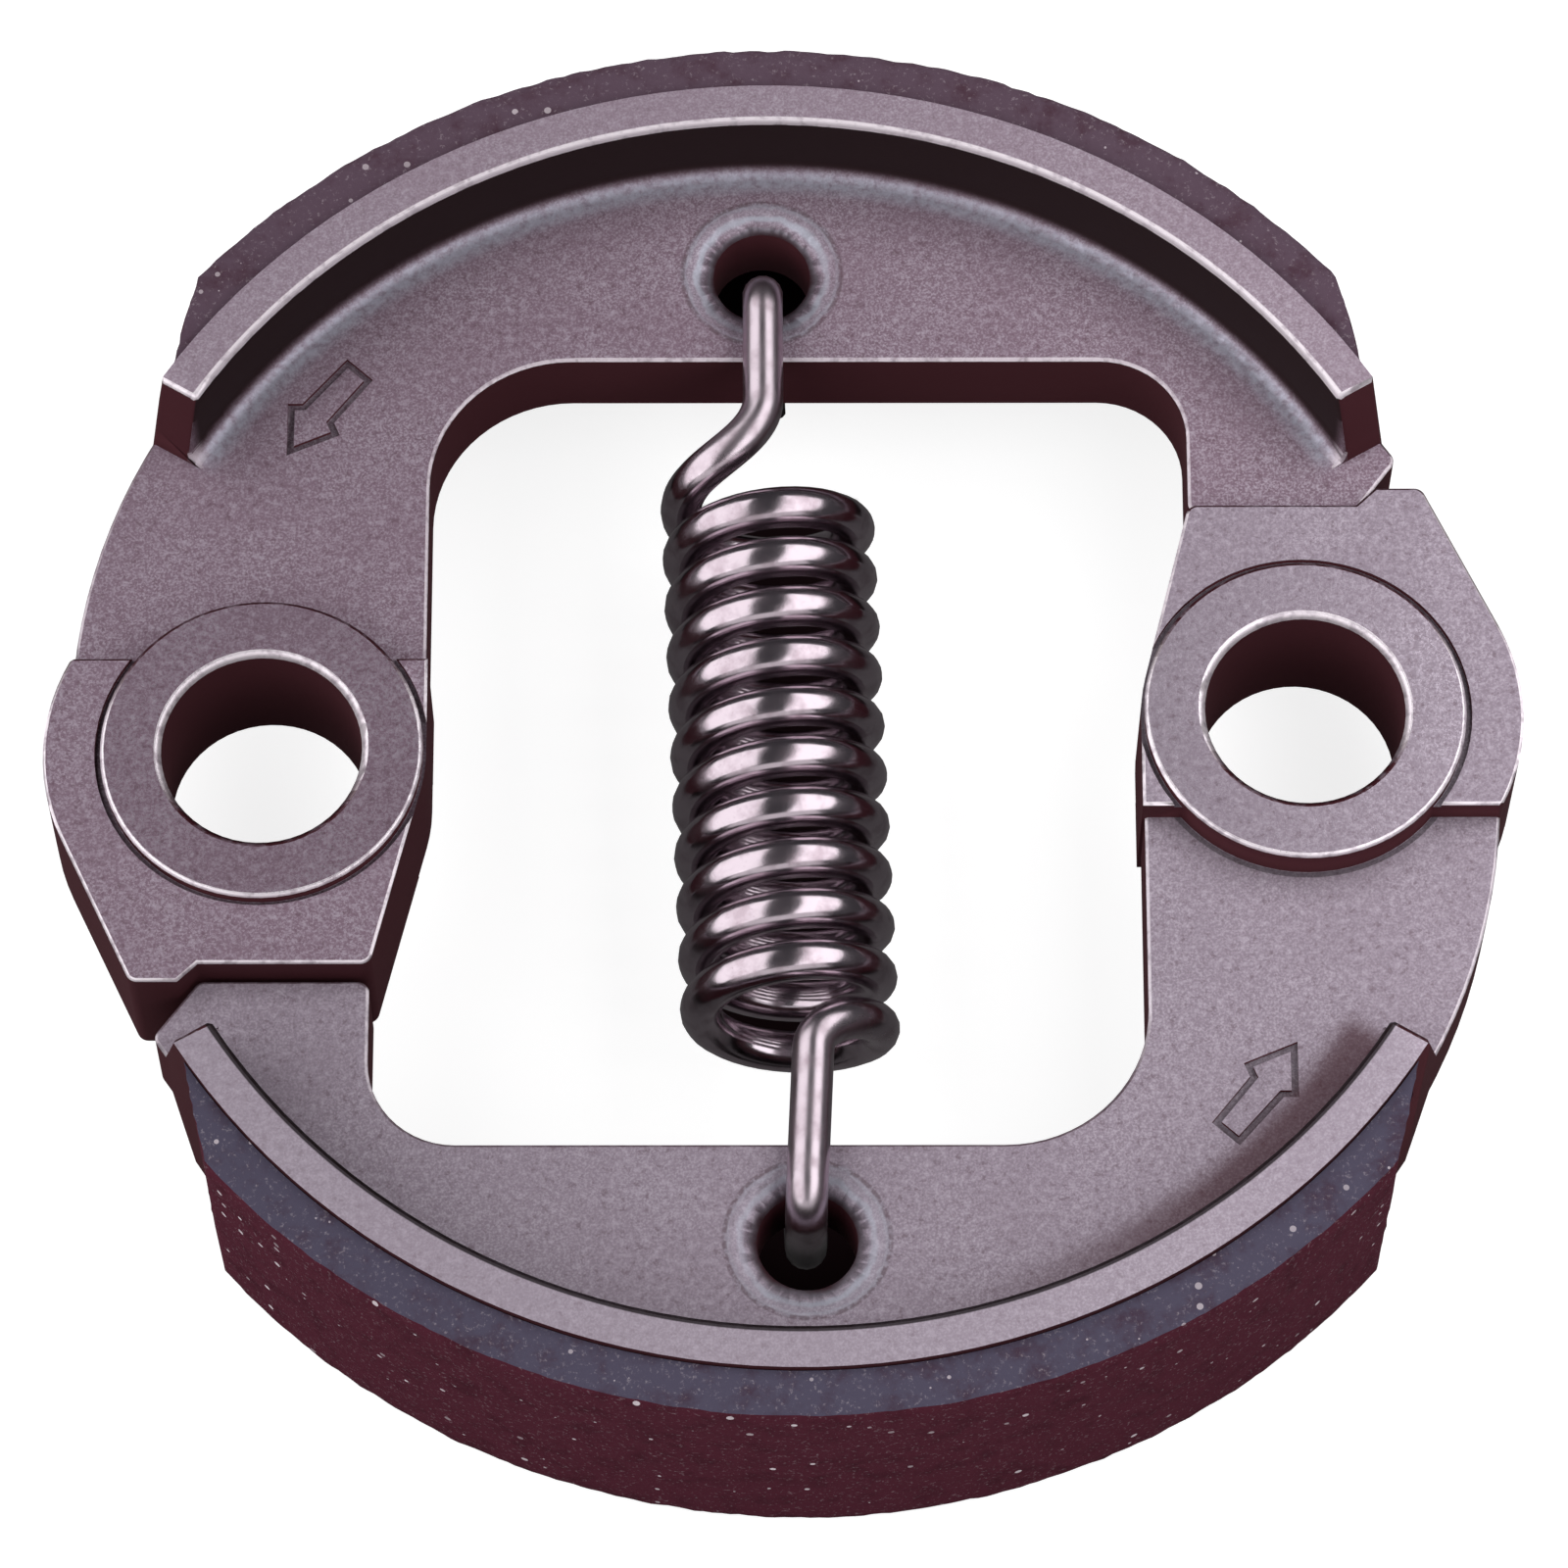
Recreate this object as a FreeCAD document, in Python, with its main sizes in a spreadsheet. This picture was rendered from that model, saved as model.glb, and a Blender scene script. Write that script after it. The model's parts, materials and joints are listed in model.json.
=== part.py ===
"""Two-shoe centrifugal clutch of a brush cutter: sintered shoes, linings and return spring.

Frame: millimetres, +Z up. The origin lies midway between the two pivot bores, on the plane that the
rims of the shoes rest on. X runs through both bores and Y along the return spring. Each shoe is drawn
in its own frame, with its pivot bore at the origin and its straight edges along u, and then swung
in by rest_swing, as the spring holds it. The second shoe is the first turned half a turn about Z.
"""
import FreeCAD, Part
import math
import os

import Sketcher

# Driving dimensions in millimetres and degrees, with what each one is
SIZES = (
    ("pivot_spacing", 52.5, "distance between the two pivot bores"),
    ("rest_swing", 2.3, "how far a shoe is swung in at rest, degrees"),
    ("bore_diameter", 10.1, "pivot bore, for a shoulder bolt of 10"),
    ("bore_chamfer", 0.35, "chamfer at both mouths of the bore"),
    ("ring_diameter", 16.2, "raised ring around the bore"),
    ("ring_rise", 0.4, "ring above the eye block"),
    ("ring_groove_width", 0.3, "fine groove around the ring"),
    ("ring_groove_depth", 0.35, "depth of that groove"),
    ("ring_chamfer", 0.2, "chamfer on the rim of the ring"),
    ("web_underside", 6.8, "height of the web's underside"),
    ("web_thickness", 5.0, "thickness of the web"),
    ("eye_rise", 1.65, "eye block above and below the web"),
    ("eye_back_radius", 11.0, "rounded back of the eye block, from the bore"),
    ("eye_inner_radius", 8.25, "inner flank of the eye block, from the bore"),
    ("eye_shoulder", 5.1, "shoulder of the eye block, from the bore"),
    ("eye_front", 11.5, "front face of the eye block, from the bore"),
    ("eye_back_lean", 25.5, "lean of the flank below the rounded back, degrees"),
    ("eye_inner_lean", 14.0, "lean of the flank below the inner radius, degrees"),
    ("heel_depth", 12.45, "heel of the eye block, from the bore"),
    ("heel_width", 3.9, "inner end of the heel"),
    ("heel_ramp", 1.0, "run of the ramp between heel and front face"),
    ("window_own_side", 8.1, "side of the window beside the own eye"),
    ("window_free_side", 46.9, "side of the window at the free end"),
    ("window_edge", 22.6, "long straight edge of the window"),
    ("window_own_corner", 7.2, "corner radius beside the own eye"),
    ("window_free_corner", 4.4, "corner radius at the free end"),
    ("nose_gap", 0.3, "gap between a nose and the other shoe's eye block"),
    ("nose_corner", 55.4, "outer end of the flat of the nose"),
    ("tip_reach", 0.7, "tip of the nose, out beyond the foot of the rim's end"),
    ("tip_drop", 1.0, "tip of the nose, down from the foot of the rim's end"),
    ("arc_centre_along", 25.4, "centre of the rim's arc, along u"),
    ("arc_centre_across", -0.6, "centre of the rim's arc, along v"),
    ("rim_outer_radius", 36.55, "outside of the rim"),
    ("rim_thickness", 2.15, "thickness of the rim"),
    ("rim_height", 16.8, "height of the rim"),
    ("rim_half_angle", 57.4, "half of the rim's arc at its top, degrees"),
    ("rim_end_flare", 1.4, "how much longer each end of the rim is at its foot"),
    ("rim_foot_fillet", 0.9, "fillet between web and rim"),
    ("rim_chamfer", 0.2, "chamfer on the inner edges of the rim"),
    ("web_back_radius", 31.0, "outline of the web between rim and eye"),
    ("web_overlap", 3.1, "how far the web runs on inside the eye block"),
    ("edge_chamfer", 0.15, "broken edges of the eye block"),
    ("corner_fillet", 0.6, "rounded upright corners of nose and eye block"),
    ("lining_thickness", 2.4, "friction lining"),
    ("lining_height", 16.0, "height of the lining"),
    ("lining_bond", 0.05, "bond line between lining and rim"),
    ("lining_outer_half_angle", 47.0, "half of the lining's arc on its face, degrees"),
    ("lining_inner_half_angle", 54.5, "half of the lining's arc on the rim, degrees"),
    ("lining_chamfer", 0.2, "broken edges of the friction face"),
    ("spring_hole_along", 25.1, "spring hole, along u"),
    ("spring_hole_across", 27.6, "spring hole, along v"),
    ("spring_hole_diameter", 5.0, "hole that a hook of the spring goes into"),
    ("spring_hole_mouth", 8.0, "worn mouth of the hole"),
    ("spring_mouth_depth", 0.5, "depth of that mouth"),
    ("wire_diameter", 2.1, "spring wire"),
    ("wire_flats", 12, "flats of the wire's section, which stand for its round"),
    ("coil_outer_diameter", 11.0, "outside of the coil"),
    ("coil_pitch", 2.76, "pitch of the coil at rest"),
    ("coil_turns", 10.5, "turns of the coil"),
    ("coil_drop", 2.9, "coil axis below the top of the web"),
    ("coil_side", 0.27, "coil axis beside the middle, toward -X"),
    ("hook_clearance", 0.15, "between hook and web, above, below and in the hole"),
    ("hook_bend", 1.5, "bend radius of the hook, on the wire's centre line"),
    ("hook_tail", 2.2, "run of the hook's tail under the web"),
    ("curl_1_rise", 4.6, "first hook's curl: how far it pulls up from the coil before it turns in"),
    ("curl_1_pull", 2.7, "first hook's curl: how far it pulls back from the run"),
    ("curl_1_run", 4.3, "first hook's curl: its length along the axis"),
    ("curl_1_side", 0.3, "first hook: wire beside the middle where the curl ends"),
    ("curl_2_rise", 3.1, "second hook's curl: how far it pulls up from the coil before it turns in"),
    ("curl_2_pull", 1.9, "second hook's curl: how far it pulls back from the run"),
    ("curl_2_run", 2.5, "second hook's curl: its length along the axis"),
    ("curl_2_side", 0.75, "second hook: wire beside the middle where the curl ends"),
)

doc = FreeCAD.newDocument("centrifugal_clutch")
sheet = doc.addObject("Spreadsheet::Sheet", "sizes")
for row, (alias, number, meaning) in enumerate(SIZES, start=1):
    sheet.set(f"A{row}", alias)
    sheet.set(f"B{row}", str(number))
    sheet.set(f"C{row}", meaning)
    sheet.setAlias(f"B{row}", alias)
doc.recompute()

# Sizes that follow from the driving ones: name, formula
DERIVED = (
    ("web_top", "sizes.web_underside + sizes.web_thickness"),
    ("eye_top", "sizes.web_underside + sizes.web_thickness + sizes.eye_rise"),
    ("eye_bottom", "sizes.web_underside - sizes.eye_rise"),
    ("eye_depth", "sizes.web_thickness + 2 * sizes.eye_rise"),
    ("ring_top", "sizes.web_underside + sizes.web_thickness + sizes.eye_rise + sizes.ring_rise"),
    ("ring_bottom", "sizes.web_underside - sizes.eye_rise - sizes.ring_rise"),
    ("ring_depth", "sizes.web_thickness + 2 * sizes.eye_rise + 2 * sizes.ring_rise"),
    ("rim_inner_radius", "sizes.rim_outer_radius - sizes.rim_thickness"),
    ("rim_foot_angle", "sizes.rim_half_angle + sizes.rim_end_flare / sizes.rim_outer_radius * 180 / pi"),
    ("rim_cut", "sizes.rim_thickness + 2"),
    ("lining_inner_radius", "sizes.rim_outer_radius + sizes.lining_bond"),
    ("lining_outer_radius", "sizes.rim_outer_radius + sizes.lining_bond + sizes.lining_thickness"),
    ("lining_underside", "(sizes.rim_height - sizes.lining_height) / 2"),
    ("nose_edge", "sizes.eye_front + sizes.nose_gap + sizes.pivot_spacing * sin(sizes.rest_swing)"),
)
derived = doc.addObject("App::VarSet", "derived")
for name, expression in DERIVED:
    derived.addProperty("App::PropertyFloat", name, "Derived")
    derived.setExpression(name, expression)
doc.recompute()


def size(term):
    """Read a size by its name, with a minus sign in front for its negative; a number is itself."""
    if not isinstance(term, str):
        return term
    name = term.lstrip("-")
    value = getattr(derived, name) if name in derived.PropertiesList else sheet.get(name)
    return -value if term.startswith("-") else value


def formula(term):
    """The expression that binds something to a named size."""
    name = term.lstrip("-")
    owner = "derived" if name in derived.PropertiesList else "sizes"
    return f"{'-' if term.startswith('-') else ''}{owner}.{name}"


def around(radius, angle, centre=(0.0, 0.0)):
    """The point at an angle, in degrees, on a circle."""
    turn = math.radians(angle)
    return (centre[0] + radius * math.cos(turn), centre[1] + radius * math.sin(turn))


def circle_centre(start, end, radius):
    """Centre of the shorter counterclockwise arc of this radius from start to end."""
    half = (FreeCAD.Vector(*end) - FreeCAD.Vector(*start)) * 0.5
    rise = math.sqrt(radius ** 2 - half.Length ** 2)
    across = FreeCAD.Vector(-half.y, half.x, 0).normalize() * rise
    return FreeCAD.Vector(*start) + half + across


def bind_radius(sketch, edge, radius):
    """Give an arc or circle of a sketch its radius, bound to the size if it is a named one."""
    index = sketch.addConstraint(Sketcher.Constraint("Radius", edge, size(radius)))
    if isinstance(radius, str):
        sketch.setExpression(f"Constraints[{index}]", formula(radius))


class Outline:
    """A closed outline of a sketch, with its corners and radii held at the sizes."""

    def __init__(self, sketch):
        self.sketch = sketch
        self.ends = []

    def pin(self, edge, position, point):
        """Hold one end of an edge at its place."""
        for kind, term in zip(("DistanceX", "DistanceY"), point):
            constraint = Sketcher.Constraint(kind, -1, 1, edge, position, size(term))
            index = self.sketch.addConstraint(constraint)
            if isinstance(term, str):
                self.sketch.setExpression(f"Constraints[{index}]", formula(term))

    def line(self, start, end):
        """Add a straight edge."""
        places = [FreeCAD.Vector(*(size(term) for term in point)) for point in (start, end)]
        edge = self.sketch.addGeometry(Part.LineSegment(*places), False)
        self.pin(edge, 1, start)
        self.ends.append((edge, 1, 2))

    def arc(self, start, end, radius, clockwise=False):
        """Add the shorter arc of a radius."""
        first, last = [[size(term) for term in point] for point in (start, end)]
        if clockwise:
            first, last = last, first
        centre = circle_centre(first, last, size(radius))
        angles = [math.atan2(point[1] - centre.y, point[0] - centre.x) for point in (first, last)]
        circle = Part.Circle(centre, FreeCAD.Vector(0, 0, 1), size(radius))
        edge = self.sketch.addGeometry(Part.ArcOfCircle(circle, *angles), False)
        head, tail = (2, 1) if clockwise else (1, 2)
        self.pin(edge, head, start)
        bind_radius(self.sketch, edge, radius)
        self.ends.append((edge, head, tail))

    def close(self):
        """Join each edge to the next, and the last to the first."""
        for (edge, _, tail), (following, head, _) in zip(self.ends, self.ends[1:] + self.ends[:1]):
            self.sketch.addConstraint(Sketcher.Constraint("Coincident", edge, tail, following, head))


def plane_of(body, role):
    """One of the body's own origin planes."""
    return next(item for item in body.Origin.OriginFeatures if item.Role == role)


def level_sketch(body, name, height=None):
    """A sketch parallel to the floor, at a named height or on the floor itself."""
    sketch = body.newObject("Sketcher::SketchObject", name)
    sketch.AttachmentSupport = [(plane_of(body, "XY_Plane"), "")]
    sketch.MapMode = "FlatFace"
    if height:
        sketch.setExpression("AttachmentOffset.Base.z", formula(height))
    return sketch


def circle_sketch(body, name, height, centre, radii):
    """A sketch of one or more circles about a centre."""
    sketch = level_sketch(body, name, height)
    middle = FreeCAD.Vector(*(size(term) for term in centre))
    for radius in radii:
        edge = sketch.addGeometry(Part.Circle(middle, FreeCAD.Vector(0, 0, 1), size(radius)), False)
        Outline(sketch).pin(edge, 3, centre)
        bind_radius(sketch, edge, radius)
    return sketch


def extrude(body, sketch, length, kind="Pad", upward=True):
    """Pad or pocket a sketch over a named length, upward or downward."""
    feature = body.newObject(f"PartDesign::{kind}", sketch.Name.replace("outline", kind.lower()))
    feature.Profile = sketch
    feature.setExpression("Length", formula(length))
    feature.Reversed = upward if kind == "Pocket" else not upward
    body.Tip = feature
    doc.recompute()
    return feature


def edges_where(body, test):
    """Names of the edges of the body's last feature that pass a test."""
    edges = body.Tip.Shape.Edges
    return [f"Edge{number}" for number, edge in enumerate(edges, start=1) if test(edge)]


def soften(body, kind, name, amount, test):
    """Fillet or chamfer the edges that pass a test."""
    base = body.Tip
    names = edges_where(body, test)
    feature = body.newObject(f"PartDesign::{kind}", name)
    feature.Base = (base, names)
    feature.setExpression("Radius" if kind == "Fillet" else "Size", formula(amount))
    body.Tip = feature
    doc.recompute()
    return feature


def same(first, second):
    """Whether two lengths are equal."""
    return abs(first - second) < 1e-4


def is_level_circle(edge, heights, radii):
    """Whether an edge is an arc in a level plane at one of the heights, of one of the radii."""
    if not isinstance(edge.Curve, Part.Circle) or not same(edge.BoundBox.ZLength, 0):
        return False
    level = any(same(edge.BoundBox.ZMin, size(height)) for height in heights)
    return level and any(same(edge.Curve.Radius, radius) for radius in radii)


def is_upright_at(edge, points):
    """Whether an edge is a vertical line over one of the points."""
    box = edge.BoundBox
    if not (same(box.XLength, 0) and same(box.YLength, 0)):
        return False
    return any(same(box.XMin, size(x)) and same(box.YMin, size(y)) for x, y in points)


def rim_point(radius, angle):
    """The point of the rim's arc at an angle from its middle, counted toward the own eye."""
    return around(size(radius), 90 + angle, (size("arc_centre_along"), size("arc_centre_across")))


def shoulder_corner():
    """Outer end of the eye block's shoulder, where the block, the web and its back meet."""
    return (-math.sqrt(size("eye_back_radius") ** 2 - size("eye_shoulder") ** 2), "eye_shoulder")


def eye_block(body):
    """The thick block around the pivot bore, with its heel and its leaning flanks."""
    back_lean = size("eye_back_lean")
    back_foot = around(size("eye_back_radius"), 180 + back_lean)
    heel_corner = (
        back_foot[0] + (back_foot[1] + size("heel_depth")) * math.tan(math.radians(back_lean)),
        "-heel_depth",
    )
    heel_end = ("-heel_width", "-heel_depth")
    front_start = (size("heel_ramp") - size("heel_width"), "-eye_front")
    inner_lean = math.radians(size("eye_inner_lean"))
    front_end = (
        size("eye_inner_radius") / math.cos(inner_lean) - size("eye_front") * math.tan(inner_lean),
        "-eye_front",
    )
    flank_end = around(size("eye_inner_radius"), -size("eye_inner_lean"))
    bulge_end = ("eye_inner_radius", 0.0)
    shoulder_end = ("eye_inner_radius", "eye_shoulder")
    sketch = level_sketch(body, "eye_outline", "eye_bottom")
    outline = Outline(sketch)
    outline.line(shoulder_end, shoulder_corner())
    outline.arc(shoulder_corner(), back_foot, "eye_back_radius")
    outline.line(back_foot, heel_corner)
    outline.line(heel_corner, heel_end)
    outline.line(heel_end, front_start)
    outline.line(front_start, front_end)
    outline.line(front_end, flank_end)
    outline.arc(flank_end, bulge_end, "eye_inner_radius")
    outline.line(bulge_end, shoulder_end)
    outline.close()
    extrude(body, sketch, "eye_depth")
    corners = [heel_corner, front_end]
    soften(body, "Fillet", "eye_corners", "corner_fillet", lambda edge: is_upright_at(edge, corners))
    soften(body, "Chamfer", "eye_edges", "edge_chamfer", lambda edge: same(edge.BoundBox.ZLength, 0))


def web(body):
    """The flat web from the eye round the window to the nose."""
    own_side, free_side = "window_own_side", "window_free_side"
    own_top = size("window_edge") - size("window_own_corner")
    free_top = size("window_edge") - size("window_free_corner")
    corner_start = (size(own_side) + size("window_own_corner"), "window_edge")
    corner_end = (size(free_side) - size("window_free_corner"), "window_edge")
    nose_inner = (free_side, "nose_edge")
    nose_outer = ("nose_corner", "nose_edge")
    free_foot = rim_point("rim_outer_radius", -size("rim_foot_angle"))
    tip = (free_foot[0] + size("tip_reach"), free_foot[1] - size("tip_drop"))
    own_foot = rim_point("rim_outer_radius", size("rim_foot_angle"))
    overlap_end = size("eye_shoulder") - size("web_overlap")
    sketch = level_sketch(body, "web_outline", "web_underside")
    outline = Outline(sketch)
    outline.line((own_side, "eye_shoulder"), (own_side, own_top))
    outline.arc((own_side, own_top), corner_start, "window_own_corner", clockwise=True)
    outline.line(corner_start, corner_end)
    outline.arc(corner_end, (free_side, free_top), "window_free_corner", clockwise=True)
    outline.line((free_side, free_top), nose_inner)
    outline.line(nose_inner, nose_outer)
    outline.line(nose_outer, tip)
    outline.line(tip, free_foot)
    outline.arc(free_foot, own_foot, "rim_outer_radius")
    outline.arc(own_foot, shoulder_corner(), "web_back_radius")
    outline.line(shoulder_corner(), ("-eye_inner_radius", overlap_end))
    outline.line(("-eye_inner_radius", overlap_end), (own_side, overlap_end))
    outline.line((own_side, overlap_end), (own_side, "eye_shoulder"))
    outline.close()
    extrude(body, sketch, "web_thickness")
    corners = [nose_inner, nose_outer, tip]
    soften(body, "Fillet", "nose_corners", "corner_fillet", lambda edge: is_upright_at(edge, corners))


def rim(body):
    """The curved rim that carries the lining, with flared ends and a fillet at its foot."""
    foot = size("rim_foot_angle")
    sketch = level_sketch(body, "rim_outline")
    outline = Outline(sketch)
    outline.arc(rim_point("rim_outer_radius", -foot), rim_point("rim_outer_radius", foot), "rim_outer_radius")
    outline.line(rim_point("rim_outer_radius", foot), rim_point("rim_inner_radius", foot))
    outline.arc(
        rim_point("rim_inner_radius", foot),
        rim_point("rim_inner_radius", -foot),
        "rim_inner_radius",
        clockwise=True,
    )
    outline.line(rim_point("rim_inner_radius", -foot), rim_point("rim_outer_radius", -foot))
    outline.close()
    extrude(body, sketch, "rim_height")
    for name, side in (("own", 1), ("free", -1)):
        rim_end(body, name, side)
    inner = [size("rim_inner_radius")]
    soften(
        body,
        "Fillet",
        "rim_foot",
        "rim_foot_fillet",
        lambda edge: is_level_circle(edge, ["web_top", "web_underside"], inner),
    )
    soften(
        body,
        "Chamfer",
        "rim_edges",
        "rim_chamfer",
        lambda edge: is_level_circle(edge, [0.0, "rim_height"], inner),
    )


def rim_end(body, name, side):
    """Cut one end of the rim back above and below the web, so that it flares toward its foot."""
    margin = 1.0
    angle = 90 + side * size("rim_foot_angle")
    centre = (size("arc_centre_along"), size("arc_centre_across"))
    origin = FreeCAD.Vector(*around(size("rim_outer_radius") + margin, angle, centre))
    outward = FreeCAD.Vector(*around(1.0, angle))
    upward = FreeCAD.Vector(0, 0, 1)
    turn = FreeCAD.Rotation(upward.cross(outward), upward, outward, "ZYX")
    sketch = body.newObject("Sketcher::SketchObject", f"{name}_end_outline")
    sketch.AttachmentSupport = [(plane_of(body, "XY_Plane"), "")]
    sketch.MapMode = "FlatFace"
    sketch.AttachmentOffset = FreeCAD.Placement(origin, turn)
    flare = -side * size("rim_end_flare")
    for foot, edge in (("web_top", "rim_height"), ("web_underside", 0.0)):
        corners = [(0.0, foot), (side * margin, foot), (side * margin, edge), (flare, edge)]
        outline = Outline(sketch)
        for start, end in zip(corners, corners[1:] + corners[:1]):
            outline.line(start, end)
        outline.close()
    extrude(body, sketch, "rim_cut", "Pocket", upward=False)


def pivot(body):
    """The raised rings, the grooves around them and the bore for the shoulder bolt."""
    bore = size("bore_diameter") / 2
    ring = size("ring_diameter") / 2
    groove = ring + size("ring_groove_width")
    middle = (0.0, 0.0)
    extrude(body, circle_sketch(body, "ring_outline", "ring_bottom", middle, [ring]), "ring_depth")
    for name, height, upward in (("upper", "eye_top", False), ("lower", "eye_bottom", True)):
        sketch = circle_sketch(body, f"{name}_groove_outline", height, middle, [ring, groove])
        extrude(body, sketch, "ring_groove_depth", "Pocket", upward)
    sketch = circle_sketch(body, "bore_outline", "ring_top", middle, [bore])
    extrude(body, sketch, "ring_depth", "Pocket", upward=False)
    faces = ["ring_top", "ring_bottom"]
    soften(body, "Chamfer", "bore_mouths", "bore_chamfer", lambda edge: is_level_circle(edge, faces, [bore]))
    soften(body, "Chamfer", "ring_edges", "ring_chamfer", lambda edge: is_level_circle(edge, faces, [ring]))


def spring_hole(body):
    """The hole for a hook of the spring, with its worn mouths."""
    centre = ("spring_hole_along", "spring_hole_across")
    radius = size("spring_hole_diameter") / 2
    sketch = circle_sketch(body, "spring_hole_outline", "web_top", centre, [radius])
    extrude(body, sketch, "web_thickness", "Pocket", upward=False)
    mouths = (
        ("upper_mouth", "spring_hole_diameter", "spring_hole_mouth", "web_top", -1),
        ("lower_mouth", "spring_hole_mouth", "spring_hole_diameter", "web_underside", 0),
    )
    for name, lower, upper, face, drop in mouths:
        height = size(face) + drop * size("spring_mouth_depth")
        cone = body.newObject("PartDesign::SubtractiveCone", name)
        cone.setExpression("Radius1", f"sizes.{lower} / 2")
        cone.setExpression("Radius2", f"sizes.{upper} / 2")
        cone.setExpression("Height", "sizes.spring_mouth_depth")
        cone.Placement.Base = FreeCAD.Vector(*(size(term) for term in centre), height)
        body.Tip = cone
        doc.recompute()


def place(body, side):
    """Put a shoe or its lining on its pivot and swing it in; side is -1 or 1 along X."""
    swing = (0 if side < 0 else 180) - size("rest_swing")
    pivot_place = FreeCAD.Vector(side * size("pivot_spacing") / 2, 0, 0)
    body.Placement = FreeCAD.Placement(pivot_place, FreeCAD.Rotation(FreeCAD.Vector(0, 0, 1), swing))
    body.setExpression("Placement.Base.x", f"{side} * sizes.pivot_spacing / 2")


def make_shoe(label, side):
    """One sintered shoe: eye block, web, rim, ring and spring hole in one piece."""
    body = doc.addObject("PartDesign::Body", label)
    body.Label = label
    eye_block(body)
    web(body)
    rim(body)
    pivot(body)
    spring_hole(body)
    place(body, side)
    return body


def make_lining(label, side):
    """One moulded friction lining, bonded to the rim, with leaning ends."""
    face = size("lining_outer_half_angle")
    back = size("lining_inner_half_angle")
    body = doc.addObject("PartDesign::Body", label)
    body.Label = label
    sketch = level_sketch(body, "lining_outline", "lining_underside")
    outline = Outline(sketch)
    corners = [
        rim_point("lining_outer_radius", -face),
        rim_point("lining_outer_radius", face),
        rim_point("lining_inner_radius", back),
        rim_point("lining_inner_radius", -back),
    ]
    outline.arc(corners[0], corners[1], "lining_outer_radius")
    outline.line(corners[1], corners[2])
    outline.arc(corners[2], corners[3], "lining_inner_radius", clockwise=True)
    outline.line(corners[3], corners[0])
    outline.close()
    extrude(body, sketch, "lining_height")
    outer = size("lining_outer_radius")
    soften(
        body,
        "Chamfer",
        "lining_edges",
        "lining_chamfer",
        lambda edge: same(edge.BoundBox.ZLength, 0) and edge.Curve.TypeId == "Part::GeomCircle"
        and same(edge.Curve.Radius, outer),
    )
    place(body, side)
    return body


def bend(corner, before, after, radius):
    """The quarter arc that rounds a corner between two directions, with its two ends."""
    start = corner - before * radius
    end = corner + after * radius
    middle = corner - (before - after) * radius * (1 - math.sqrt(0.5))
    return start, end, Part.Arc(start, middle, end).toShape()


def hook_path(curl_name, start, lead):
    """Edges from the coil's end toward +Y: curl, run over the web, leg down the hole and tail."""
    wire = size("wire_diameter")
    side = -size("pivot_spacing") / 2
    swing = FreeCAD.Rotation(FreeCAD.Vector(0, 0, 1), -size("rest_swing"))
    hole = swing.multVec(FreeCAD.Vector(size("spring_hole_along"), size("spring_hole_across"), 0))
    hole.x += side
    seat = hole.y - (size("spring_hole_diameter") - wire) / 2 + size("hook_clearance")
    run_height = size("web_top") + size("hook_clearance") + wire / 2
    tail_height = size("web_underside") - size("hook_clearance") - wire / 2
    curl_end = FreeCAD.Vector(-size(f"{curl_name}_side"), start.y + size(f"{curl_name}_run"), run_height)
    upper = FreeCAD.Vector(hole.x, seat, run_height)
    lower = FreeCAD.Vector(hole.x, seat, tail_height)
    down = FreeCAD.Vector(0, 0, -1)
    inward = FreeCAD.Vector(0, -1, 0)
    along = (upper - curl_end).normalize()
    rise, pull = size(f"{curl_name}_rise"), size(f"{curl_name}_pull")
    curl = Part.BezierCurve()
    curl.setPoles([start, start + lead * rise, curl_end - along * pull, curl_end])
    upper_start, upper_end, upper_bend = bend(upper, along, down, size("hook_bend"))
    lower_start, lower_end, lower_bend = bend(lower, down, inward, size("hook_bend"))
    return [
        curl.toShape(),
        Part.LineSegment(curl_end, upper_start).toShape(),
        upper_bend,
        Part.LineSegment(upper_end, lower_start).toShape(),
        lower_bend,
        Part.LineSegment(lower_end, lower_end + inward * size("hook_tail")).toShape(),
    ]


def wire_section(tip, heading):
    """Section of the wire across its path, with as much area as the round wire."""
    flats = round(size("wire_flats"))
    turn = 2 * math.pi / flats
    reach = size("wire_diameter") / 2 * math.sqrt(turn / math.sin(turn))
    across = FreeCAD.Rotation(FreeCAD.Vector(0, 0, 1), heading)
    corners = [FreeCAD.Vector(*around(reach, math.degrees(turn) * step), 0) for step in range(flats)]
    corners = [tip + across.multVec(corner) for corner in corners]
    return Part.makePolygon(corners + corners[:1])


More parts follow.
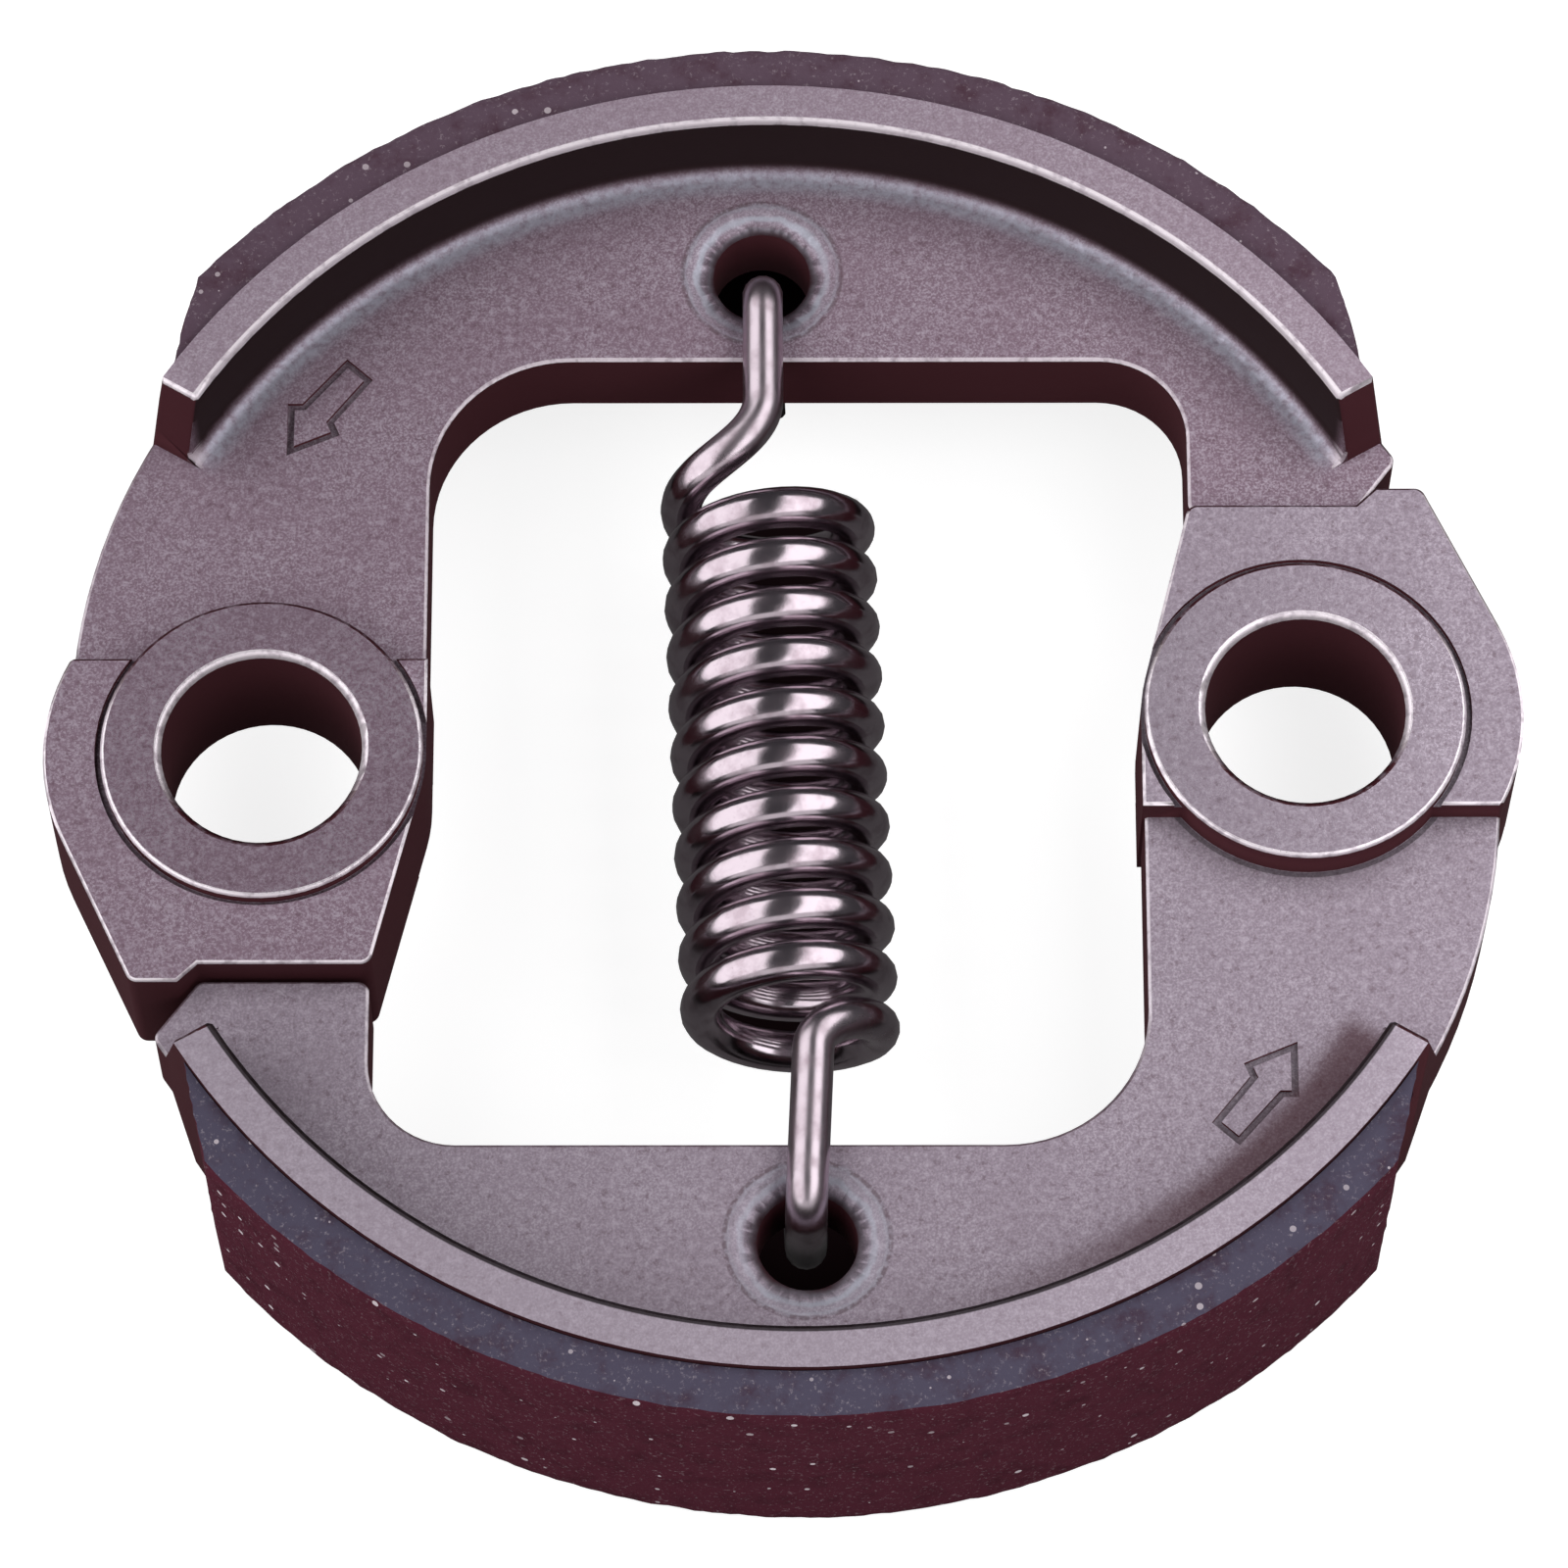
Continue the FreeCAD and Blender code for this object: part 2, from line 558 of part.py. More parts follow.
def make_spring(label):
    """The return spring: a right-hand coil with a hook at each end, from one piece of wire."""
    radius = (size("coil_outer_diameter") - size("wire_diameter")) / 2
    length = size("coil_pitch") * size("coil_turns")
    axis_height = size("web_top") - size("coil_drop")
    beside = size("coil_side")
    coil = Part.makeHelix(size("coil_pitch"), length, radius)
    coil.Placement = FreeCAD.Placement(
        FreeCAD.Vector(-beside, -length / 2, axis_height),
        FreeCAD.Rotation(FreeCAD.Vector(1, 0, 0), -90),
    )
    lead = FreeCAD.Vector(0, size("coil_pitch"), 2 * math.pi * radius).normalize()
    first_hook = hook_path("curl_1", FreeCAD.Vector(-radius - beside, length / 2, axis_height), lead)
    second_hook = hook_path("curl_2", FreeCAD.Vector(-radius + beside, length / 2, axis_height), lead)
    half_turn = FreeCAD.Placement(FreeCAD.Vector(), FreeCAD.Rotation(FreeCAD.Vector(0, 0, 1), 180))
    for edge in second_hook:
        edge.Placement = half_turn.multiply(edge.Placement)
    path = Part.Wire(Part.__sortEdges__(second_hook + coil.Edges + first_hook))
    first = path.OrderedEdges[0]
    section = wire_section(path.OrderedVertexes[0].Point, first.tangentAt(first.FirstParameter))
    spring = doc.addObject("Part::Feature", label)
    spring.Label = label
    spring.Shape = path.makePipeShell([section], True, False)
    spring.Placement = FreeCAD.Placement()
    return spring


def check_document():
    """Stop on any object that failed to build."""
    doc.recompute()
    for item in doc.Objects:
        if "Invalid" in item.State or "Error" in item.State:
            raise RuntimeError(f"{item.Name} failed: {item.State}")


def write_parts(pieces):
    """Write each piece to its own file."""
    os.makedirs("parts", exist_ok=True)
    for piece in pieces:
        if piece.Shape.isNull() or not piece.Shape.isValid():
            raise RuntimeError(f"{piece.Label} has no valid shape")
        piece.Shape.exportStep(os.path.join("parts", f"{piece.Label}.step"))


pieces = [
    make_shoe("shoe_1", -1),
    make_shoe("shoe_2", 1),
    make_lining("lining_1", -1),
    make_lining("lining_2", 1),
    make_spring("return_spring"),
]
check_document()
write_parts(pieces)
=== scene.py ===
"""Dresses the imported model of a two-shoe centrifugal clutch, laid out as a Blender add-on.

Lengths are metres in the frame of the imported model: +Z up, X through both pivot bores and Y along
the return spring. Each shoe has a frame of its own, with its pivot bore at the origin, u along its
straight edges and v toward its rim.
"""
import json
import math

import bmesh
import bpy
from bpy.props import FloatProperty, FloatVectorProperty, PointerProperty
from mathutils import Matrix, Vector

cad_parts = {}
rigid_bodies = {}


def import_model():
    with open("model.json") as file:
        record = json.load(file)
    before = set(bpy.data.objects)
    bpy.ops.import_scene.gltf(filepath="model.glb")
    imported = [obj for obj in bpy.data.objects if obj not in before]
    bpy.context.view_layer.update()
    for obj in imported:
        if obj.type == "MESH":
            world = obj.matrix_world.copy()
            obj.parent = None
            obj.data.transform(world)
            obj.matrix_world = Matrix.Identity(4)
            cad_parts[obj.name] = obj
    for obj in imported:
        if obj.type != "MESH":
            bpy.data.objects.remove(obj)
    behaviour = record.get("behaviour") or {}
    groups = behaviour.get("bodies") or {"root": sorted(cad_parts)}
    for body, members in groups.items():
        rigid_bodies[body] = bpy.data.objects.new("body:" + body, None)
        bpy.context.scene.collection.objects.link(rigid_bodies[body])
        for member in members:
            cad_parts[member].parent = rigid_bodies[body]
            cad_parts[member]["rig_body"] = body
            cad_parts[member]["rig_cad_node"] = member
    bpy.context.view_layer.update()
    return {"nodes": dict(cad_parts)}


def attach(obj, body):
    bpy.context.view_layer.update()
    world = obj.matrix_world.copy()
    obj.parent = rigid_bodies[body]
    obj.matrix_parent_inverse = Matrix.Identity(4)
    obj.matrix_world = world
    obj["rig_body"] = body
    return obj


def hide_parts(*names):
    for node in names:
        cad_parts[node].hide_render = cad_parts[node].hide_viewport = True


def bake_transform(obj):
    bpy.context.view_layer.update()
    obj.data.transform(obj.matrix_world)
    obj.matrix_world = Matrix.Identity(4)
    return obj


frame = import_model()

bl_info = {
    "name": "Centrifugal clutch",
    "version": (1, 0, 0),
    "blender": (4, 5, 0),
    "location": "View3D > Sidebar > Clutch",
    "description": "Dresses a two-shoe centrifugal clutch: sintered shoes, friction linings, return spring",
    "category": "Object",
}

MM = 0.001
SHOES = (("shoe_1", "first_shoe", -1), ("shoe_2", "second_shoe", 1))
LININGS = (("lining_1", "first_shoe", -1), ("lining_2", "second_shoe", 1))
# Curls of the two hooks, in millimetres: rise from the coil, pull back from the run, run and side
CURLS = ((4.6, 2.7, 4.3, 0.3), (3.1, 1.9, 2.5, 0.75))
# Corners of the engraved arrow in the shoe's own frame, from the tail round the head, in millimetres
ARROW_CORNERS = (
    (3.75, 22.7), (5.1, 21.5), (3.15, 19.05), (3.45, 18.35), (0.75, 17.2), (0.75, 20.15), (1.5, 20.15)
)
# Steps along a hook's curl, along each of its bends and along one turn of the coil
CURL_STEPS, BEND_STEPS, TURN_STEPS = 24, 8, 40
# Steps along the lining's arc, and the divisions of its section across and up
ARC_STEPS, SECTION_ACROSS, SECTION_UP = 176, 6, 26
# Sizes of the crumbled pattern: pits in the skin, chips along the edges and how far in the chips reach
PIT_SIZE, CHIP_SIZE, CHIP_REACH = 1.3 * MM, 1.2 * MM, 0.9 * MM
# Edges that meet at more than this angle are bevelled, and the bevels take the bright colour that stands for
# wear and painted highlight
SHARP = math.radians(60)
# Two heights or radii closer than this count as the same
NEARLY, SAME = 0.05 * MM, 0.01 * MM
# Edges that meet at less than this angle are shaded smooth, in degrees
SHOE_SMOOTH, LINING_SMOOTH, WIRE_SMOOTH = 50, 35, 60
# Patterns of the pressed steel: grain, blotches, patches, patches on the bright edges (wear and painted
# highlight), and the ragged rings round the hook's hole
GRAIN, BLOTCH, PATCH, EDGE_PATCH = 0.13 * MM, 0.42 * MM, 5.0 * MM, 0.8 * MM
RAG_SIZE, RAG_DEPTH, RING_PITCH = 1.3 * MM, 0.7 * MM, 0.7 * MM
# Patterns of the lining: mottle, grain and the spacing of its fibres
MOTTLE, LINING_GRAIN, FIBRE_SPACING = 1.6 * MM, 0.22 * MM, 0.95 * MM
# Patterns of the wire's skin: clouds and drawing marks
CLOUD, DRAWING_MARK = 1.1 * MM, 0.12 * MM
# Deep shade on the floor, under both spring holes and under the coil: middle and half sizes, in millimetres
FLOOR_SHADES = ((0.2, 31.4, 2.9, 1.7), (0.2, -23.2, 2.9, 2.0), (-0.1, 3.9, 4.6, 15.0))
# The floor's glow to the camera and in the shiny parts, and how far it is darkened in them
FLOOR_GLOW, MIRRORED_GLOW, MIRRORED_SHADE = 0.80, 0.06, 0.85
# Soft boxes: name, place, the point that it looks at, width and depth in metres, and power in watts
SOFT_BOXES = (
    ("soft_box_right", (0.148, -0.01, 0.16), (0.148, -0.01, 0.0), (0.203, 0.34), 0.435),
    ("soft_box_left", (-0.378, 0.0, 0.29), (-0.144, 0.0, -0.035), (0.90, 0.548), 2.6),
    ("soft_box_front", (0.0, -0.42, 0.22), (0.0, 0.0, 0.0), (0.70, 0.22), 0.40),
)
WORLD_COLOUR, WORLD_STRENGTH = (0.93, 0.95, 1.0, 1.0), 0.06


def length(name, default, description):
    """A length of the model that a user may change."""
    return FloatProperty(
        name=name, description=description, default=default * MM, unit="LENGTH", precision=5
    )


def colour(name, default, description):
    """A colour of a finish, as linear values."""
    return FloatVectorProperty(
        name=name, description=description, default=default, subtype="COLOR", size=3, min=0.0, max=1.0
    )


class ClutchSizes(bpy.types.PropertyGroup):
    """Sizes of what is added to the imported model"""

    pivot_spacing: length("Pivot spacing", 52.5, "Distance between the two pivot bores")
    rest_swing: FloatProperty(
        name="Rest swing",
        description="How far a shoe is swung in at rest",
        default=math.radians(2.3),
        subtype="ANGLE",
    )
    web_top: length("Web top", 11.8, "Height of the web's upper face")
    groove_width: length("Groove width", 0.36, "Width of the engraved arrow's line")
    groove_depth: length("Groove depth", 0.22, "Depth of the engraved arrow's line")
    edge_width: length("Edge width", 0.16, "Width of the worn bevel on sharp edges of the shoes")
    rim_edge_width: length("Rim edge width", 0.22, "Width of the worn bevel on the rim's upper edges")
    rim_height: length("Rim height", 16.8, "Height of the rim's upper face")
    rim_inner: length("Rim inner radius", 34.4, "Inside of the rim, about the arc's centre")
    rim_reach: FloatProperty(
        name="Rim reach",
        description="Half of the rim's arc",
        default=math.radians(58.5),
        subtype="ANGLE",
    )
    foot_width: length("Foot width", 0.9, "Width of the round between web and rim")
    rim_highlight_shade_line: length("Rim line", 0.38, "Width of the line along the rim's inner upper edge")
    ring_rise: length("Ring rise", 2.05, "Raised ring round a bore, above the web")
    ring_radius: length("Ring radius", 8.1, "Outside of that ring")
    ring_groove: length("Ring groove", 0.3, "Width of the groove round the ring")
    hole_along: length("Spring hole, along", 25.1, "Place of the spring hole along u")
    hole_across: length("Spring hole, across", 27.6, "Place of the spring hole along v")
    hole_radius: length("Spring hole radius", 2.5, "Radius of the spring hole")
    hook_circle: length("Hook circle", 4.1, "Radius of the circle that the hook has burnished")
    arc_along: length("Arc centre, along", 25.4, "Centre of the lining's arc along u")
    arc_across: length("Arc centre, across", -0.6, "Centre of the lining's arc along v")
    lining_inner: length("Lining inner radius", 36.6, "Inside of the lining")
    lining_outer: length("Lining outer radius", 39.0, "Friction face of the lining")
    lining_foot: length("Lining foot", 0.4, "Height of the lining's underside")
    lining_height: length("Lining height", 16.0, "Height of the lining")
    lining_inner_reach: FloatProperty(
        name="Lining reach, inside",
        description="Half of the lining's arc on the rim",
        default=math.radians(55.7),
        subtype="ANGLE",
    )
    lining_outer_reach: FloatProperty(
        name="Lining reach, outside",
        description="Half of the lining's arc on its friction face",
        default=math.radians(48.2),
        subtype="ANGLE",
    )
    lining_chamfer: length("Lining chamfer", 0.2, "Broken edge of the friction face")
    lining_chip: length("Lining chips", 0.15, "Depth of the crumbled edges of the lining")
    lining_pits: length("Lining pits", 0.05, "Depth of the pits in the lining's skin")
    wire: length("Wire", 2.1, "Diameter of the spring wire")
    coil: length("Coil", 11.0, "Outside of the coil")
    pitch: length("Pitch", 2.76, "Pitch of the coil at rest")
    turns: FloatProperty(name="Turns", description="Turns of the coil", default=10.5)
    coil_height: length("Coil height", 8.9, "Height of the coil's axis")
    coil_side: length("Coil side", 0.27, "Coil axis beside the middle, toward -X")
    run_height: length("Run height", 13.0, "Height of the hook's run over the web")
    tail_height: length("Tail height", 5.6, "Height of the hook's tail under the web")
    hook_reach: length("Hook reach", 25.27, "Distance of the hook's leg from the middle of the spring")
    hook_side: length("Hook side", -0.063, "How far the leg stands to one side")
    bend: length("Hook bend", 1.5, "Bend radius of the hook")
    tail_run: length("Tail run", 2.2, "Run of the hook's tail under the web")


class ClutchFinish(bpy.types.PropertyGroup):
    """Colours of the finishes"""

    steel: colour("Steel, first shoe", (0.250, 0.168, 0.220), "Pressed faces of the first shoe")
    steel_second: colour("Steel, second shoe", (0.310, 0.250, 0.305), "Pressed faces of the second shoe")
    steel_light: colour("Steel, light grains", (0.62, 0.54, 0.63), "Light grains of the pressed faces")
    # Painted shade: upright walls, edges turned toward +Y, the hole's mouth and the web beside the second rim
    # take this colour; the dark blotches and the rubbed circle's outline use it as the steel's own dark tone
    dark_steel_and_shade: colour("Steel walls", (0.062, 0.012, 0.018), "Painted shade on upright walls; also the steel's dark tone")
    # Painted highlight on the round at the first rim's foot
    foot: colour("Foot of the rim", (0.52, 0.54, 0.64), "Painted highlight on the round between web and rim")
    # Bright bevelled edges: worn metal and painted highlight together
    edge: colour("Worn edges", (0.95, 0.86, 0.92), "Bright metal on worn edges")
    burnish: colour("Burnished steel", (0.48, 0.50, 0.58), "Steel rubbed by the spring's hooks")
    lining: colour("Lining, first", (0.107, 0.068, 0.095), "Upper and lower faces of the first lining")
    lining_second: colour("Lining, second", (0.080, 0.070, 0.108), "Upper and lower faces of the second lining")
    # Painted shade: friction faces and ends of the linings are darker and redder than their level faces
    lining_side_shade: colour("Lining side", (0.098, 0.020, 0.036), "Friction face and ends of the linings")
    speck: colour("Specks", (0.80, 0.70, 0.75), "Metal fibres in the lining")
    wire: colour("Wire", (0.53, 0.45, 0.50), "Drawn spring wire")
    wire_dark: colour("Wire, dark", (0.16, 0.08, 0.11), "Oiled hollows of the wire's skin")
    floor: colour("Floor", (0.50, 0.50, 0.50), "Floor under the clutch")
    # Painted shade: grooves, the rim's inner wall, the second rim's edge line, the hooks' tails, the floor
    # under the spring, and the floor as seen in the shiny parts
    shade: colour("Deep shade", (0.010, 0.005, 0.006), "Painted shade in grooves, on the rim wall and tails, and on the floor under the spring")


def shoe_frame(sizes, side):
    """Matrix from a shoe's own frame to the frame of the model; side is -1 or 1 along X."""
    turn = (0.0 if side < 0 else math.pi) - sizes.rest_swing
    place = Vector((side * sizes.pivot_spacing / 2, 0.0, 0.0))
    return Matrix.Translation(place) @ Matrix.Rotation(turn, 4, "Z")


def clear_selection():
    """Leave edit mode and deselect everything."""
    if bpy.context.object and bpy.context.object.mode != "OBJECT":
        bpy.ops.object.mode_set(mode="OBJECT")
    bpy.ops.object.select_all(action="DESELECT")


def make_active(piece):
    """Select one object alone and make it the active one."""
    clear_selection()
    piece.select_set(True)
    bpy.context.view_layer.objects.active = piece


def settle(piece):
    """Put the object's place into its mesh, so that the object sits at the origin."""
    make_active(piece)
    bpy.ops.object.transform_apply(location=True, rotation=True, scale=True)


def apply_modifiers(piece):
    """Apply every modifier of a piece."""
    make_active(piece)
    for modifier in list(piece.modifiers):
        bpy.ops.object.modifier_apply(modifier=modifier.name)


class Shader:
    """A node material that is built a node at a time."""

    def __init__(self, name):
        self.material = bpy.data.materials.new(name)
        self.material.use_nodes = True
        self.tree = self.material.node_tree
        self.surface = self.tree.nodes["Principled BSDF"]
        self.place = self.node("ShaderNodeTexCoord").outputs["Object"]

    def node(self, kind, **settings):
        """Add a node and set its properties."""
        made = self.tree.nodes.new(kind)
        for key, value in settings.items():
            setattr(made, key, value)
        return made

    def feed(self, socket, value):
        """Link an output to an input, or set the input to a plain value."""
        if isinstance(value, bpy.types.NodeSocket):
            self.tree.links.new(value, socket)
        elif value is not None:
            socket.default_value = value

    def math(self, operation, first, second=None):
        """A math node's result."""
        made = self.node("ShaderNodeMath", operation=operation)
        self.feed(made.inputs[0], first)
        self.feed(made.inputs[1], second)
        return made.outputs[0]

    def times(self, first, second):
        """The product of two values."""
        return self.math("MULTIPLY", first, second)

    def minus(self, first, second):
        """The first value less the second."""
        return self.math("SUBTRACT", first, second)

    def apart(self, first, second):
        """How far two values are apart."""
        return self.math("ABSOLUTE", self.minus(first, second))

    def larger(self, first, second):
        """The larger of two values."""
        return self.math("MAXIMUM", first, second)

    def above(self, value, limit):
        """1 where a value is above a limit, else 0."""
        return self.math("GREATER_THAN", value, limit)

    def below(self, value, limit):
        """1 where a value is below a limit, else 0."""
        return self.math("LESS_THAN", value, limit)

    def vector(self, operation, first, second=None):
        """A vector math node's outputs."""
        made = self.node("ShaderNodeVectorMath", operation=operation)
        self.feed(made.inputs[0], first)
        self.feed(made.inputs[1], second)
        return made.outputs

    def split(self, vector):
        """The parts of a vector, by axis."""
        made = self.node("ShaderNodeSeparateXYZ")
        self.feed(made.inputs[0], vector)
        return made.outputs

    def normal(self, kind):
        """The parts of the surface's normal, by axis."""
        return self.split(self.node("ShaderNodeNewGeometry").outputs[kind])

    def between(self, value, low, high, to_low=0.0, to_high=1.0):
        """Ease a value from one range to another."""
        made = self.node("ShaderNodeMapRange", interpolation_type="SMOOTHSTEP")
        for index, item in enumerate((value, low, high, to_low, to_high)):
            self.feed(made.inputs[index], item)
        return made.outputs[0]

    def mix(self, factor, first, second):
        """Blend two colours."""
        made = self.node("ShaderNodeMix", data_type="RGBA")
        self.feed(made.inputs["Factor"], factor)
        for socket, value in zip((made.inputs[6], made.inputs[7]), (first, second)):
            self.feed(socket, value if isinstance(value, bpy.types.NodeSocket) else (*value, 1.0))
        return made.outputs[2]

    def noise(self, size, detail=3.0, roughness=0.5):
        """Noise whose features are about one size, in metres."""
        made = self.node("ShaderNodeTexNoise")
        self.feed(made.inputs["Vector"], self.place)
        self.feed(made.inputs["Scale"], 1.0 / size)
        self.feed(made.inputs["Detail"], detail)
        self.feed(made.inputs["Roughness"], roughness)
        return made.outputs["Fac"]

    def cells(self, size):
        """Cells of about one size: distance to the middle of the cell, and its colour."""
        made = self.node("ShaderNodeTexVoronoi")
        self.feed(made.inputs["Vector"], self.place)
        self.feed(made.inputs["Scale"], 1.0 / size)
        return made.outputs["Distance"], made.outputs["Color"]

    def facing_up(self, kind="Normal"):
        """How far the face looks up or down: 1 on level faces, 0 on upright walls."""
        return self.math("ABSOLUTE", self.normal(kind)["Z"])

    def bump(self, height, depth, strength=1.0, before=None):
        """Relief from a height of 0 to 1, as deep as given in metres."""
        made = self.node("ShaderNodeBump")
        self.feed(made.inputs["Height"], height)
        self.feed(made.inputs["Distance"], depth)
        self.feed(made.inputs["Strength"], strength)
        self.feed(made.inputs["Normal"], before)
        return made.outputs["Normal"]

    def finish(self, colour_value, rough, metallic, normal=None, specular=0.5):
        """Connect the surface."""
        self.feed(self.surface.inputs["Base Color"], colour_value)
        self.feed(self.surface.inputs["Roughness"], rough)
        self.feed(self.surface.inputs["Metallic"], metallic)
        self.feed(self.surface.inputs["Specular IOR Level"], specular)
        self.feed(self.surface.inputs["Normal"], normal)
        return self.material


def distance_from(shader, place):
    """Level distance from a place, and the offset from it as a vector."""
    offset = shader.vector("SUBTRACT", shader.place, place)["Vector"]
    level = shader.vector("MULTIPLY", offset, (1.0, 1.0, 0.0))["Vector"]
    return shader.vector("LENGTH", level)["Value"], level


def along_rim(shader, sizes, side):
    """Masks inside the rim: painted highlight band, upright wall for painted shade, upper edge line (painted
    highlight on the first shoe, painted shade on the second), painted shadow before it and the round at its
    foot.
    """
    place = shoe_frame(sizes, side)
    centre = place @ Vector((sizes.arc_along, sizes.arc_across, 0.0))
    outward = place.to_3x3() @ Vector((0.0, 1.0, 0.0))
    radius, level = distance_from(shader, centre)
    cosine = shader.math("DIVIDE", shader.vector("DOT_PRODUCT", level, outward)["Value"], radius)
    reach = shader.between(cosine, math.cos(sizes.rim_reach + 0.03), math.cos(sizes.rim_reach - 0.02))
    inside, width = sizes.rim_inner, sizes.foot_width
    rising = shader.between(radius, inside - 2.0 * width, inside - 1.0 * width)
    falling = shader.between(radius, inside - 0.65 * width, inside - 0.05 * width, 1.0, 0.0)
    highlight_band = shader.times(reach, shader.times(rising, falling))
    past_band = shader.between(radius, inside - 0.5 * width, inside - 0.05 * width)
    before_edge = shader.between(radius, inside + 0.05 * MM, inside + 0.12 * MM, 1.0, 0.0)
    wall = shader.times(past_band, before_edge)
    line_end = inside + sizes.rim_highlight_shade_line
    line = shader.between(radius, line_end - 0.08 * MM, line_end, 1.0, 0.0)
    line = shader.times(shader.above(radius, inside - NEARLY), line)
    rim_shadow = shader.between(radius, inside - 3.4 * MM, inside - 1.8 * MM)
    foot = shader.above(radius, inside - width - 0.1 * MM)
    foot = shader.times(foot, shader.below(radius, inside + 0.08 * MM))
    return highlight_band, *(shader.times(reach, mask) for mask in (wall, line, rim_shadow, foot))


def steel_face(shader, finish, steel, noises):
    """Colour of the pressed faces, and the light grain's strength."""
    fine, coarse, patches = noises
    grain = shader.times(shader.between(fine, 0.40, 0.70), shader.between(patches, 0.25, 0.75, 0.30, 0.60))
    face = shader.mix(grain, steel, finish.steel_light)
    face = shader.mix(shader.between(coarse, 0.50, 0.72, 0.0, 0.30), face, finish.steel_light)
    return shader.mix(shader.between(coarse, 0.28, 0.44, 0.30, 0.0), face, finish.dark_steel_and_shade), grain


def hook_marks(shader, sizes, finish, face, radius, noises):
    """Rub bright rings round the spring's hole, draw their dark outline and paint shade into the hole's mouth.
    """
    _, coarse, patches = noises
    circle, mouth = sizes.hook_circle, sizes.hole_radius
    ragged = shader.math("ADD", radius, shader.times(shader.noise(RAG_SIZE), RAG_DEPTH))
    rubbed = shader.between(ragged, circle - 0.1 * MM, circle + 0.6 * MM, 1.0, 0.0)
    waves = shader.math("SINE", shader.times(ragged, 2 * math.pi / RING_PITCH))
    rings = shader.between(waves, -0.8, 1.0, 0.20, 0.75)
    rings = shader.times(rings, shader.between(patches, 0.3, 0.6, 0.5, 1.0))
    face = shader.mix(shader.times(rubbed, rings), face, finish.burnish)
    outline = shader.between(shader.apart(radius, circle), 0.05 * MM, 0.18 * MM, 0.55, 0.0)
    outline = shader.times(outline, shader.between(coarse, 0.35, 0.6))
    face = shader.mix(outline, face, finish.dark_steel_and_shade)
    # Painted shade in the hole's mouth
    mouth_shade = shader.between(ragged, mouth + 0.2 * MM, mouth + 1.0 * MM, 0.95, 0.0)
    return shader.mix(mouth_shade, face, finish.dark_steel_and_shade)


def groove_mask(shader, sizes, side, above_web, radius):
    """The floors of the engraved arrow and of the groove round the ring, where shade is painted."""
    engraved = shader.between(above_web, -0.16 * MM, -0.08 * MM, 1.0, 0.0)
    engraved = shader.times(engraved, shader.above(above_web, -0.35 * MM))
    engraved = shader.times(engraved, shader.above(radius, sizes.hook_circle))
    bore, _ = distance_from(shader, shoe_frame(sizes, side).translation)
    half = sizes.ring_groove / 2
    groove = shader.below(shader.apart(bore, sizes.ring_radius + half), half - 0.02 * MM)
    groove = shader.times(groove, shader.below(above_web, sizes.ring_rise - 0.5 * MM))
    return shader.larger(engraved, groove)


